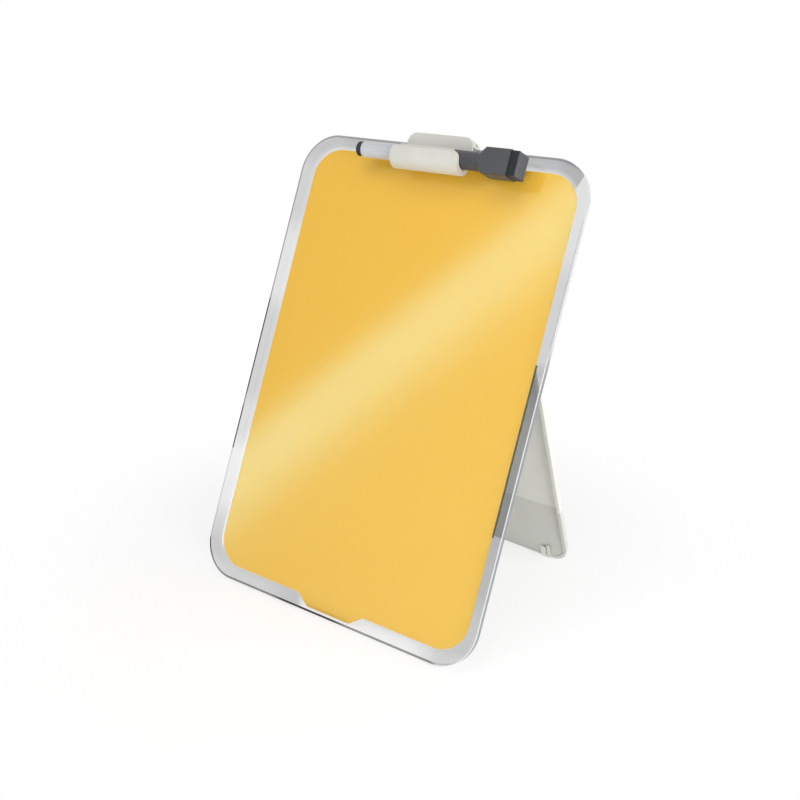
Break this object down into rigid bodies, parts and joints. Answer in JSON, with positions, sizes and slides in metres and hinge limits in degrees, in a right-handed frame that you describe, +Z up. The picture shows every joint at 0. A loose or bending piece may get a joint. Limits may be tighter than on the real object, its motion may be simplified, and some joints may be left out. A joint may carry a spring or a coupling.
{
  "type": "magnetic desk whiteboard easel",
  "caption": "Leaning magnetic glass writing board with a folding rear leg, a sprung clip with a pen trough on its top edge, and a capped marker with an eraser.",
  "frame": {"origin": "on the surface the easel stands on, at the middle of its footprint's box", "axes": "+Z up, the board faces -Y and leans back towards +Y, +X to the right as seen from the front"},
  "size_m": [0.22, 0.1632, 0.2939],
  "materials": {
    "clear_glass": "polished safety glass with a ground edge",
    "yellow_print": "even print on the rear face of the glass",
    "sheet_steel": "plain sheet",
    "foam_tape": "closed-cell foam tape",
    "white_plastic": "fine satin moulding",
    "plated_steel": "bright zinc plate",
    "grip_rubber": "soft satin rubber",
    "barrel_plastic": "smooth gloss moulding",
    "dark_plastic": "fine satin moulding",
    "cap_plastic": "fine satin moulding",
    "ink_fibre": "bonded fibre",
    "eraser_felt": "dense pressed felt"
  },
  "bodies": {
    "board": {"glass_panel": "clear_glass", "colour_print": "yellow_print", "steel_sheet": "sheet_steel", "mounting_tape": "foam_tape", "back_cover": "white_plastic", "hinge_brackets": "white_plastic", "bracket_screws": "plated_steel", "hinge_pins": "plated_steel"},
    "leg": {"leg_panel": "white_plastic", "leg_feet": "grip_rubber"},
    "clip": {"clip_base": "white_plastic", "clip_pin": "plated_steel", "clip_spring": "plated_steel", "rear_pad": "grip_rubber"},
    "jaw": {"pen_trough": "white_plastic", "press_tab": "white_plastic", "jaw_pad": "grip_rubber"},
    "marker": {"marker_barrel": "barrel_plastic", "end_plug": "dark_plastic", "ink_reservoir": "ink_fibre", "nib_holder": "dark_plastic", "nib": "ink_fibre"},
    "cap": {"marker_cap": "cap_plastic", "eraser_block": "cap_plastic", "eraser_felt": "eraser_felt"}
  },
  "joints": [
    {"name": "leg_fold", "type": "hinge", "parent": "board", "child": "leg", "pos_m": [0, 0.02055, 0.19221], "axis": [-1, 0, 0], "range_deg": [0, 41.5]},
    {"name": "clip_slide", "type": "slide", "parent": "board", "child": "clip", "axis": [1, 0, 0], "range_m": [-0.055, 0.055]},
    {"name": "jaw_open", "type": "hinge", "parent": "clip", "child": "jaw", "pos_m": [0, 0.05625, 0.28794], "axis": [-1, 0, 0], "range_deg": [0, 15], "stiffness_Nm_per_rad": 0.2, "springref_deg": -28.65, "deforming": ["clip_spring"]},
    {"name": "marker_lift", "type": "slide", "parent": "jaw", "child": "marker", "axis": [0, 0.4226, 0.9063], "range_m": [0, 0.03]},
    {"name": "cap_pull", "type": "slide", "parent": "marker", "child": "cap", "axis": [1, 0, 0], "range_m": [0, 0.035]}
  ]
}
